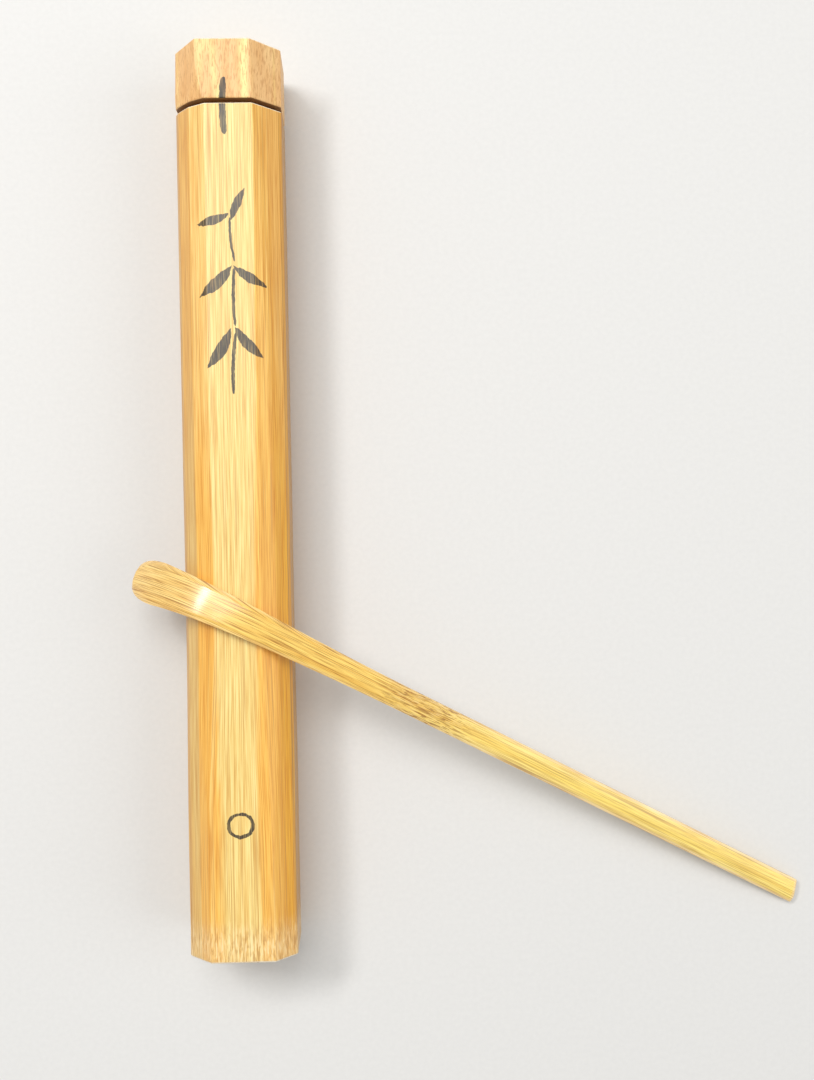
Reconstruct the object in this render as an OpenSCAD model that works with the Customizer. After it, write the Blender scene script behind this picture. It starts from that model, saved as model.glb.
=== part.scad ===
// Bamboo tea scoop lying across its own bamboo case, which a wooden stopper closes.
// Frame: +Y runs along the case to the stopper, +Z is up, and the origin is the middle
// of the case's underside. Sizes are in millimetres and angles in degrees.

/* [Case outside] */
// Width of the case across its four main flats, which is also its height lying down
case_w = 24; // [20:0.5:30]
// Length that each corner facet takes off the square's sides at both ends of the case
corner_cut = 5.2; // [3.5:0.1:7]
// How far the round shoulders stand proud of the main flats at the middle of the case
shoulder_rise = 1.05; // [0.4:0.05:1.6]
// Length over which the corner facets fade out, from the closed end of the tube
facet_fade = 76; // [20:1:120]
// Bevel along the end edges of the tube and of the stopper's head
edge_bevel = 0.5; // [0.2:0.05:1]

/* [Tube] */
// Length of the bamboo tube, without the stopper
tube_l = 189; // [150:1:240]
// Bore that holds the scoop
bore_d = 20; // [16:0.1:22]
// Thickness of the node wall that closes the tube
node_wall = 3; // [2:0.5:6]
// Depth of the shallow hollow outside the node wall
foot_depth = 1.5; // [0.5:0.5:5]
// Width of the foot's flat rim, from the main flats to the shallow hollow
foot_rim = 3; // [2.5:0.5:5]
// Bevel round the mouth of the bore
mouth_bevel = 0.3; // [0.1:0.05:0.6]

/* [Stopper] */
// Length of the stopper's head outside the tube
head_l = 13.3; // [8:0.2:25]
// Open joint between the head and the tube's rim, where the spigot wedges
joint_gap = 1; // [0.3:0.1:2]
// Length of the spigot inside the tube
spigot_l = 8; // [4:0.5:20]
// Play between the spigot and the bore, on the radius
spigot_play = 0.05; // [0.02:0.01:0.1]
// Bevel round the spigot's end
spigot_bevel = 0.6; // [0.2:0.1:1.5]

/* [Tea scoop] */
// Length of the scoop along its curve
scoop_l = 180; // [140:0.5:210]
// Width of the handle
handle_w = 5.5; // [4:0.1:8]
// Thickness of the handle
handle_t = 2.4; // [1.6:0.1:3.5]
// Width of the tip
tip_w = 9.8; // [7:0.1:12]
// Thickness of the tip, where it is thinned to be bent
tip_t = 1.5; // [1:0.1:2.5]
// Length at the tip that is bent
bend_l = 40; // [25:0.5:48]
// Angle that the tip is bent through
bend_angle = 56; // [35:0.5:70]
// Length at the tip over which the shaft widens
flare_l = 76.5; // [45:0.5:90]
// Length at the tip that has its full width, with its rounded end
full_l = 9.2; // [5:0.1:15]
// Length of the rounded end of the tip
round_l = 9.5; // [4:0.1:12]
// Distance from the handle's end to the bamboo's joint
node_at = 103; // [60:1:120]
// How far the bamboo's joint stands proud of each face
node_rise = 0.15; // [0:0.05:0.4]
// Width of the bevel along the scoop's edges
side_bevel = 1.1; // [0.6:0.1:1.6]

/* [Scoop lying on the case] */
// Length of the scoop from where it rests on the case to the end of the tip
over_tip = 34.8; // [30:0.2:60]
// Place along the case where the scoop rests, from the middle towards the stopper
rest_y = -27.9; // [-60:0.1:60]
// Angle between the scoop and a line square across the case, seen from above
rest_turn = 28.6; // [0:0.1:60]
// Lean of the bent tip away from upright, towards the closed end of the case
tip_lean = 12.6; // [0:0.2:35]
// Twist of the tip about its own length, against the lean
tip_twist = 9; // [0:0.5:25]
// Space left between the scoop and the case where it rests
rest_gap = 0.3; // [0.2:0.05:1]
// Space left between the handle's end and the surface that the case lies on
foot_gap = 0.15; // [0.1:0.05:0.5]

/* [Hidden] */
round_fn = 120;
fade_steps = 12;
shaft_steps = 30;
tip_steps = 26;
overcut = 1;
case_l = tube_l + joint_gap + head_l;
half_w = case_w / 2;
mid_r = half_w + shoulder_rise;
corner_d = (case_w - corner_cut) / sqrt(2);
end_r = norm([half_w, half_w - corner_cut]) + 0.02;
flat_half = sqrt(mid_r * mid_r - half_w * half_w);
spigot_r = bore_d / 2 - spigot_play;
over_shaft = scoop_l - over_tip;
bend_from = scoop_l - bend_l;
flare_from = scoop_l - flare_l;
flare_power = 2.1;
round_power = 2.6;
round_stop = 0.985;
swell_l = 3;
over_flat = 2 * flat_half / cos(rest_turn);
rest_checks = 8;
sum_steps = 20;

// Eases from 0 to 1 as t goes from 0 to 1, level at both ends.
function ease(t) = let (u = min(max(t, 0), 1)) u * u * (3 - 2 * u);

// Angle that the scoop has bent through at distance s from the handle's end, and its lean there.
function bend(s) = bend_angle * ease((s - bend_from) / bend_l);
function lean(s) = tip_lean * ease((s - flare_from) / flare_l);

// Half thickness of the scoop at distance s from the handle's end.
function half_t(s) =
    let (thin = ease((s - node_at) / (bend_from - node_at)))
    let (swell = node_rise * exp(-pow((s - node_at) / swell_l, 2)))
    (handle_t + (tip_t - handle_t) * thin) / 2 + swell;

// Half width of the scoop there: the handle's, then the flare, the tip's and the rounded end.
function half_width(s) =
    let (flare = pow(min(max((s - flare_from) / (flare_l - full_l), 0), 1), flare_power))
    let (turn = min(max((s - scoop_l + round_l) / round_l, 0), 1) * round_stop)
    (handle_w + (tip_w - handle_w) * flare) / 2 * pow(1 - pow(turn, round_power), 1 / round_power);

// How far the bend and the lean bring the scoop's lower edge at distance s below the handle's line.
function drop(s) =
    let (step = (s - bend_from) / sum_steps)
    [for (i = [0 : sum_steps - 1]) sin(bend(bend_from + step * (i + 0.5)))]
        * [for (i = [0 : sum_steps - 1]) step]
    + half_width(s) * sin(lean(s));

// Slope of the shaft, which leaves rest_gap all the way over the case's upper flat.
rest_slope = asin(max([
    for (i = [0 : rest_checks])
        let (s = over_shaft + over_flat * i / rest_checks)
        (case_w + rest_gap - foot_gap + drop(s) + half_t(s) - handle_t / 2) / s
]));

// Directions of the scoop: along its shaft towards the tip, across it and out of its upper face.
shaft_dir = [-cos(rest_turn) * cos(rest_slope), sin(rest_turn) * cos(rest_slope), sin(rest_slope)];
across_dir = [sin(rest_turn), cos(rest_turn), 0];
upper_dir = cross(across_dir, shaft_dir);
bend_dir = -(upper_dir * cos(tip_lean) + across_dir * sin(tip_lean));

// Distances from the handle's end at which the scoop's section is drawn.
stations = concat(
    [for (i = [0 : shaft_steps - 1]) bend_from * i / shaft_steps],
    [for (i = [0 : tip_steps]) bend_from + bend_l * sin(90 * i / tip_steps)]
);

// Direction of the scoop's middle line at distance s, and the direction across it there.
function along(s) = shaft_dir * cos(bend(s)) + bend_dir * sin(bend(s));
function across(s) =
    let (tilted = across_dir * cos(lean(s)) - upper_dir * sin(lean(s)))
    let (level = tilted - along(s) * (tilted * along(s)))
    let (square = level / norm(level))
    let (twist = tip_twist * ease((s - bend_from) / bend_l))
    square * cos(twist) + cross(square, along(s)) * sin(twist);

// The middle line starts at the handle's end, and is summed up from station to station.
handle_z = handle_t / 2 * cos(rest_slope) + foot_gap;
handle_end = [flat_half, rest_y, handle_z] - over_shaft * [shaft_dir.x, shaft_dir.y, 0];
middle_line = [
    for (i = 0, p = handle_end; i < len(stations);
        p = i + 1 < len(stations)
            ? p + (stations[i + 1] - stations[i]) * along((stations[i] + stations[i + 1]) / 2)
            : p,
        i = i + 1) p
];

// One eight-sided section of the scoop, a flat bar with all four edges bevelled.
function section(i) =
    let (s = stations[i], w = half_width(s), t = half_t(s))
    let (bw = min(side_bevel, w * 0.45), bt = t * 0.5)
    let (x = across(s), z = cross(along(s), across(s)))
    [for (q = [[w, -t + bt], [w, t - bt], [w - bw, t], [bw - w, t],
        [-w, t - bt], [-w, bt - t], [bw - w, -t], [w - bw, -t]])
        middle_line[i] + x * q.x + z * q.y];

// Stands a shape that is drawn along +Z from the foot of the case on its place along +Y.
module laid_down() {
    translate([0, -case_l / 2, half_w]) rotate([-90, 0, 0]) children();
}

// Octagonal bar with four wide flats and four corner facets.
module eight_flats(length) {
    linear_extrude(length) intersection() {
        square(case_w, center = true);
        rotate(45) square(2 * corner_d, center = true);
    }
}

// Eight sloping cuts that bevel the edges of an end face at z = 0, facing down.
module end_bevels() {
    for (k = [0 : 7])
        rotate(45 * k)
            translate([(k % 2 == 0 ? half_w : corner_d) - edge_bevel, 0, 0])
                rotate([0, 45, 0])
                    translate([0, -case_w, -2 * edge_bevel])
                        cube([4 * edge_bevel, 2 * case_w, 4 * edge_bevel]);
}

module tube() {
    color("#EFC878") laid_down() difference() {
        intersection() {
            eight_flats(tube_l);
            rotate_extrude($fn = round_fn) polygon(concat(
                [[0, 0]],
                [for (i = [0 : fade_steps])
                    [mid_r + (end_r - mid_r) * (1 - ease(i / fade_steps)), facet_fade * i / fade_steps]],
                [[mid_r, tube_l], [0, tube_l]]
            ));
        }
        end_bevels();
        translate([0, 0, foot_depth + node_wall])
            cylinder(d = bore_d, h = tube_l, $fn = round_fn);
        translate([0, 0, -overcut])
            cylinder(d = case_w - 2 * foot_rim, h = foot_depth + overcut, $fn = round_fn);
        translate([0, 0, tube_l - mouth_bevel])
            cylinder(d1 = bore_d, d2 = bore_d + 4 * mouth_bevel, h = 2 * mouth_bevel, $fn = round_fn);
    }
}

module stopper() {
    color("#E2B27A") laid_down() {
        translate([0, 0, tube_l + joint_gap]) difference() {
            intersection() {
                eight_flats(head_l);
                cylinder(r1 = mid_r, r2 = end_r, h = head_l, $fn = round_fn);
            }
            translate([0, 0, head_l]) mirror([0, 0, 1]) end_bevels();
        }
        translate([0, 0, tube_l - spigot_l]) {
            cylinder(r1 = spigot_r - spigot_bevel, r2 = spigot_r, h = spigot_bevel, $fn = round_fn);
            translate([0, 0, spigot_bevel])
                cylinder(r = spigot_r, h = spigot_l + joint_gap - spigot_bevel + overcut, $fn = round_fn);
        }
    }
}

module tea_scoop() {
    sides = 8;
    rings = len(stations);
    color("#E0B468") polyhedron(
        points = [for (i = [0 : rings - 1]) each section(i)],
        faces = concat(
            [[for (k = [0 : sides - 1]) k]],
            [for (i = [0 : rings - 2], k = [0 : sides - 1])
                let (a = i * sides + k, b = i * sides + (k + 1) % sides)
                [a, a + sides, b + sides, b]],
            [[for (k = [sides - 1 : -1 : 0]) (rings - 1) * sides + k]]
        )
    );
}

tube();
stopper();
tea_scoop();
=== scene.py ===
# Bamboo tea scoop lying across its bamboo case, which a wooden stopper closes.
#
# The case is one culm planed to four flats with rounded shoulders; its stopper is planed with it.
# The scoop is one split of bamboo, bent at the tip. Sizes inside the classes are millimetres, and
# only the finished meshes, the camera and the lights are in metres.

import logging
from dataclasses import dataclass, field
from enum import Enum
from typing import Any

import bpy
import numpy as np
from mathutils import Euler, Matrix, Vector


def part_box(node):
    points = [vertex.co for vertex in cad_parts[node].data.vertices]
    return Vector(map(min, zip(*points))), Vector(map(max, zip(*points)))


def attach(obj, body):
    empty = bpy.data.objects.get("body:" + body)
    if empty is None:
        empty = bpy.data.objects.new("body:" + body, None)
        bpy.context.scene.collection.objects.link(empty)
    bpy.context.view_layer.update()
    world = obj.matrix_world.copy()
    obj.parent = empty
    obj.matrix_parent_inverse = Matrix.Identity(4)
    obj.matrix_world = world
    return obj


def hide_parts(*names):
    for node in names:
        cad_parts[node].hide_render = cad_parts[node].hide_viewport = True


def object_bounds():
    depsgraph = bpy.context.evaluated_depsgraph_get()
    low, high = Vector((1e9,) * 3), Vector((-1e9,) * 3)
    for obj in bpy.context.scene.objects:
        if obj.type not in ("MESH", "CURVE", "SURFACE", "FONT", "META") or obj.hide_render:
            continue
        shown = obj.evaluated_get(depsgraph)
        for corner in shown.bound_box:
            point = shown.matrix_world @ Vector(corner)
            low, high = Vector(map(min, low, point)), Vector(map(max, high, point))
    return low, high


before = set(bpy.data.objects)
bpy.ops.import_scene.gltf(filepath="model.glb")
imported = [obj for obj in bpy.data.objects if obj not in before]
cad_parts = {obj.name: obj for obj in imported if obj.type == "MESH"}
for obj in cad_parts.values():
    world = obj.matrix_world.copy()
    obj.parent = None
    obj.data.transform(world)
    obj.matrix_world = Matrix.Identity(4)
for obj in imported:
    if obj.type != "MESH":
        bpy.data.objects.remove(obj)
CAD_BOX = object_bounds()

MM = 0.001
# Just under 1, so that a rounded end keeps a little thickness where it would come to a point.
NEARLY_ONE = 0.999
LOG = logging.getLogger("tea_scoop")
Socket = bpy.types.NodeSocket
Tree = bpy.types.NodeTree
Triple = tuple[float, float, float]


# ---------------------------------------------------------------- plain mathematics

def ease(t: np.ndarray | float) -> np.ndarray:
    """Eases from 0 to 1 while t goes from 0 to 1: three t squared less two t cubed.

    Args:
        t: Any number or array; it is held within 0 and 1.

    Returns:
        The eased values.
    """
    u = np.clip(t, 0.0, 1.0)
    return u * u * (3.0 - 2.0 * u)


def waver(t: np.ndarray, cell: float, seed: int) -> np.ndarray:
    """Smooth random curve: a random height at each whole cell, eased from one to the next.

    Args:
        t: Distances along the curve.
        cell: Distance between two random heights.
        seed: Which random heights are drawn.

    Returns:
        Heights from -1 to 1.
    """
    heights = np.random.default_rng(seed).uniform(-1.0, 1.0, 1024)
    cells = np.asarray(t, float) / cell
    whole = np.floor(cells).astype(int)
    blend = ease(cells - whole)
    return heights[whole % 1024] * (1.0 - blend) + heights[(whole + 1) % 1024] * blend


def flame(a: np.ndarray, b: np.ndarray, seed: int) -> np.ndarray:
    """Smooth random height over two directions: random heights on a lattice, eased both ways.

    Args:
        a: First direction, in lattice cells.
        b: Second direction, in lattice cells.
        seed: Which random heights are drawn.

    Returns:
        Heights from -1 to 1.
    """
    heights = np.random.default_rng(seed).uniform(-1.0, 1.0, (64, 64))
    i, j = np.floor(a).astype(int), np.floor(b).astype(int)
    u, v = ease(a - i), ease(b - j)
    low = heights[i % 64, j % 64] * (1 - u) + heights[(i + 1) % 64, j % 64] * u
    high = heights[i % 64, (j + 1) % 64] * (1 - u) + heights[(i + 1) % 64, (j + 1) % 64] * u
    return low * (1 - v) + high * v


def linear(colour: str) -> np.ndarray:
    """Turns an sRGB hex colour to linear light.

    Args:
        colour: Colour such as "#EBB867".

    Returns:
        Red, green, blue and an alpha of 1.
    """
    srgb = np.array([int(colour[k:k + 2], 16) for k in (1, 3, 5)]) / 255.0
    light = np.where(srgb <= 0.04045, srgb / 12.92, ((srgb + 0.055) / 1.055) ** 2.4)
    return np.append(light, 1.0)


def mixed(first: np.ndarray, second: np.ndarray, share: np.ndarray) -> np.ndarray:
    """Blends two colours, or arrays of colours, with a share of the second at each point."""
    return first + (second - first) * np.asarray(share)[..., None]


# ---------------------------------------------------------------- meshes

@dataclass
class Skin:
    """A closed surface: rings of points one after the other, and a pole that closes each end."""

    rings: np.ndarray
    poles: np.ndarray
    unrolled: np.ndarray
    paint: np.ndarray
    finish_of_band: np.ndarray

    def corners(self) -> tuple[np.ndarray, np.ndarray, np.ndarray, np.ndarray]:
        """Works out which points and which places on the unrolled skin each face has.

        Each square joins a point to the next ring, the next column and back; each pole has a fan.

        Returns:
            Squares, their places on the unrolled skin, pole triangles, and their places.
        """
        rows, columns = self.rings.shape[:2]
        r, c = np.meshgrid(np.arange(rows - 1), np.arange(columns), indexing="ij")
        n = (c + 1) % columns
        below = (r + 1) * columns
        squares = np.stack([r * columns + c, below + c, below + n, r * columns + n], -1)
        flat = self.unrolled
        square_places = np.stack([flat[r, c], flat[r + 1, c], flat[r + 1, c + 1], flat[r, c + 1]], -2)
        k = np.arange(columns)
        m = (k + 1) % columns
        pole = np.full(columns, rows * columns)
        last = (rows - 1) * columns
        fans = np.concatenate([np.stack([pole, k, m], -1), np.stack([last + k, pole + 1, last + m], -1)])
        fan_places = np.concatenate([
            np.stack([(flat[0, k] + flat[0, k + 1]) / 2, flat[0, k], flat[0, k + 1]], -2),
            np.stack([flat[-1, k], (flat[-1, k] + flat[-1, k + 1]) / 2, flat[-1, k + 1]], -2),
        ])
        return squares.reshape(-1, 4), square_places.reshape(-1, 4, 2), fans, fan_places

    def build(self, name: str, finishes: list[bpy.types.Material], crease: float) -> bpy.types.Object:
        """Puts the skin into a mesh, with its faces outwards, and into an object at the origin.

        Args:
            name: Name of the piece.
            finishes: Materials, in the order that finish_of_band counts them.
            crease: Angle in degrees above which an edge is kept crisp.

        Returns:
            The new object.
        """
        points = np.concatenate([self.rings.reshape(-1, 3), self.poles]) * MM
        squares, square_places, fans, fan_places = self.corners()
        wedges = np.concatenate([fans, squares[:, :3], squares[:, [0, 2, 3]]])
        a, b, c = (points[wedges[:, k]] for k in range(3))
        if np.einsum("ij,ij->i", a, np.cross(b, c)).sum() < 0:
            squares, square_places = squares[:, ::-1], square_places[:, ::-1]
            fans, fan_places = fans[:, ::-1], fan_places[:, ::-1]
        mesh = bpy.data.meshes.new(name)
        mesh.from_pydata(points.tolist(), [], squares.tolist() + fans.tolist())
        columns = self.rings.shape[1]
        bands = np.concatenate([
            np.repeat(self.finish_of_band[1:-1], columns),
            np.repeat(self.finish_of_band[[0, -1]], columns),
        ])
        mesh.polygons.foreach_set("material_index", bands.astype(np.int32))
        places = np.concatenate([square_places.reshape(-1, 2), fan_places.reshape(-1, 2)])
        mesh.uv_layers.new(name="unrolled").data.foreach_set("uv", places.ravel())
        tone = mesh.color_attributes.new("tone", "FLOAT_COLOR", "POINT")
        ends = self.paint[[0, -1]].mean(1)
        tone.data.foreach_set("color", np.concatenate([self.paint.reshape(-1, 4), ends]).ravel())
        for finish in finishes:
            mesh.materials.append(finish)
        mesh.shade_smooth()
        mesh.set_sharp_from_angle(angle=np.radians(crease))
        mesh.validate()
        piece = bpy.data.objects.new(name, mesh)
        bpy.context.scene.collection.objects.link(piece)
        return piece


def crowded(count: int) -> np.ndarray:
    """Steps from 0 up to, but not with, 1 that crowd at both ends: half of one less a cosine."""
    return 0.5 - 0.5 * np.cos(np.pi * np.arange(count) / count)


# ---------------------------------------------------------------- materials

def plain(value: Any) -> Any:
    """Turns a hex colour to linear light, and hands anything else back as it is."""
    return tuple(linear(value)) if isinstance(value, str) else value


def wire(tree: Tree, node: bpy.types.Node, inputs: dict[Any, Any]) -> None:
    """Fills a node's inputs.

    Args:
        tree: Node tree that the node is in.
        node: Node to fill.
        inputs: Number, hex colour or linked socket for each input, by name or number.
    """
    for key, value in inputs.items():
        if isinstance(value, Socket):
            tree.links.new(value, node.inputs[key])
        else:
            node.inputs[key].default_value = plain(value)


def add(tree: Tree, kind: str, inputs: dict[Any, Any], out: str | int = 0, **settings: Any) -> Socket:
    """Adds a shader node with its settings, values and links.

    Args:
        tree: Node tree that gets the node.
        kind: Node type without its leading "ShaderNode".
        inputs: Number, hex colour or linked socket for each input, by name or number.
        out: Name or number of the output that is handed back.
        settings: Properties of the node. A list under "stops" fills its colour ramp.

    Returns:
        The chosen output.
    """
    node = tree.nodes.new("ShaderNode" + kind)
    stops = settings.pop("stops", ())
    for name, value in settings.items():
        setattr(node, name, value)
    if stops:
        ramp = node.color_ramp.elements
        while len(ramp) < len(stops):
            ramp.new(0.5)
        for element, (place, colour) in zip(ramp, stops):
            element.position, element.color = place, plain(colour)
    wire(tree, node, inputs)
    return node.outputs[out]


def maths(tree: Tree, operation: str, *values: Any, clamp: bool = False) -> Socket:
    """Adds one sum on one, two or three numbers or sockets."""
    return add(tree, "Math", dict(enumerate(values)), operation=operation, use_clamp=clamp)


def blend(tree: Tree, share: Any, under: Any, over: Any, how: str = "MIX") -> Socket:
    """Adds a node that lays one colour over another by a share, mixed or multiplied."""
    return add(tree, "Mix", {"Factor": share, "A": under, "B": over}, 2, data_type="RGBA", blend_type=how)


def ranged(tree: Tree, value: Socket, span: tuple[float, float], reach: tuple[float, float] = (0.0, 1.0),
           **settings: Any) -> Socket:
    """Adds a node that stretches a span of a value to another span, held at both ends."""
    return add(tree, "MapRange", {"Value": value, "From Min": span[0], "From Max": span[1],
                                  "To Min": reach[0], "To Max": reach[1]}, **settings)


def noise(tree: Tree, place: Socket, scale: Triple, values: dict[str, float], **mapping: Triple) -> Socket:
    """Adds noise over a place that is moved, turned and scaled first.

    Args:
        tree: Node tree that gets the nodes.
        place: Place that the noise is drawn at.
        scale: How many cells of noise one unit of each axis holds.
        values: The noise's own inputs, such as its detail.
        mapping: Location or rotation that the place gets.

    Returns:
        The noise's height, about 0 to 1.
    """
    where = add(tree, "Mapping", {"Vector": place, "Scale": scale, **mapping})
    return add(tree, "TexNoise", {"Vector": where, "Scale": 1.0, **values})


def blank(name: str) -> tuple[bpy.types.Material, Tree, bpy.types.Node]:
    """Starts a material.

    Args:
        name: Name of the material.

    Returns:
        The material, its node tree and its shader.
    """
    material = bpy.data.materials.new(name)
    material.use_nodes = True
    tree = material.node_tree
    return material, tree, next(n for n in tree.nodes if n.type == "BSDF_PRINCIPLED")


class Brush(Enum):
    """Shapes that a loaded brush leaves: a pointed leaf, a plain stroke and a ring."""

    LEAF = "leaf"
    STROKE = "stroke"
    RING = "ring"


@dataclass(frozen=True)
class InkMark:
    """One mark of the brush on the case's upper side, in millimetres from the case's middle."""

    brush: Brush
    x: float
    y: float
    turn: float
    half_length: float
    half_width: float
    bow: float = 0.0
    edge: float = 10.0
    ring_middle: float = 0.86
    ring_fall: float = 7.0
    ring_edge: float = 1.6

    def mask(self, tree: Tree, place: Socket) -> Socket:
        """Adds the nodes of one mark.

        Along the mark a runs from -1 to 1, and b is the distance from its bowed middle line in
        half widths. A leaf is one less a squared less b; a stroke is one less b squared less a to
        the eighth; a ring is one less how far the radius strays from the ring's middle.

        Args:
            tree: Node tree that gets the nodes.
            place: Position on the case in millimetres.

        Returns:
            How far inside the mark a point is, sharpened so that its edge is 0.1 mm wide.
        """
        local = add(tree, "Mapping", {
            "Vector": place, "Location": (self.x, self.y, 0.0),
            "Rotation": (0.0, 0.0, np.radians(self.turn)), "Scale": (self.half_length, self.half_width, 1.0),
        }, vector_type="TEXTURE")
        parts = add(tree, "SeparateXYZ", {"Vector": local}).node.outputs
        if self.brush is Brush.RING:
            level = add(tree, "CombineXYZ", {"X": parts["X"], "Y": parts["Y"]})
            radius = add(tree, "VectorMath", {0: level}, "Value", operation="LENGTH")
            stray = maths(tree, "ABSOLUTE", maths(tree, "SUBTRACT", radius, self.ring_middle))
            inside = maths(tree, "MULTIPLY_ADD", stray, -self.ring_fall, 1.0)
            return maths(tree, "MULTIPLY", inside, self.half_width * self.ring_edge, clamp=True)
        square = maths(tree, "MULTIPLY", parts["X"], parts["X"])
        bowed = maths(tree, "MULTIPLY_ADD", square, self.bow / self.half_width, parts["Y"])
        across = maths(tree, "ABSOLUTE", bowed)
        if self.brush is Brush.STROKE:
            across = maths(tree, "POWER", across, 2.0)
            square = maths(tree, "POWER", square, 4.0)
        inside = maths(tree, "SUBTRACT", 1.0, maths(tree, "ADD", square, across))
        return maths(tree, "MULTIPLY", inside, self.half_width * self.edge, clamp=True)


@dataclass(frozen=True)
class BrushInk:
    """Brushed ink on bare wood: thin, so the fibres show in it, and broken where the brush ran dry.

    Real ink frays along fibres about 0.1 mm wide. It is drawn two to four times coarser here, so
    that the ragged edges and the dry streaks show.
    """

    marks: tuple[InkMark, ...]
    colour: str = "#2C2724"
    cover: float = 0.96
    dry_cover: float = 0.7
    dry_span: tuple[float, float] = (0.34, 0.52)
    fibre_mm: float = 0.22
    fibre_run_mm: float = 5.0
    ragged_mm: float = 0.35
    fray_mm: Triple = (0.45, 0.9, 0.0)
    above_mm: float = 22.05

    def over(self, tree: Tree, bare: Socket) -> Socket:
        """Lays the marks over a bare colour, on the upper side of the case only.

        Args:
            tree: Node tree that gets the nodes.
            bare: Colour of the wood without ink.

        Returns:
            The colour with the ink on it.
        """
        place = add(tree, "VectorMath", {0: add(tree, "TexCoord", {}, "Object"), 1: (1 / MM,) * 3},
                    operation="MULTIPLY")
        rough = add(tree, "TexNoise", {"Vector": place, "Scale": 1 / self.ragged_mm / 3, "Detail": 2.0},
                    "Color")
        nudge = add(tree, "VectorMath", {0: rough, 1: (0.5, 0.5, 0.5)}, operation="SUBTRACT")
        frayed = add(tree, "VectorMath", {0: nudge, 1: self.fray_mm, 2: place}, operation="MULTIPLY_ADD")
        masks = [mark.mask(tree, frayed) for mark in self.marks]
        total = masks[0]
        for mask in masks[1:]:
            total = maths(tree, "MAXIMUM", total, mask)
        height = add(tree, "SeparateXYZ", {"Vector": place}, "Z")
        upper = maths(tree, "GREATER_THAN", height, self.above_mm)
        fibres = noise(tree, place, (1 / self.fibre_mm, 1 / self.fibre_run_mm, 0.0), {"Detail": 2.0})
        dry = ranged(tree, fibres, self.dry_span, (self.dry_cover, self.cover))
        share = maths(tree, "MULTIPLY", maths(tree, "MULTIPLY", total, upper), dry)
        return blend(tree, share, bare, self.colour)


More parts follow.
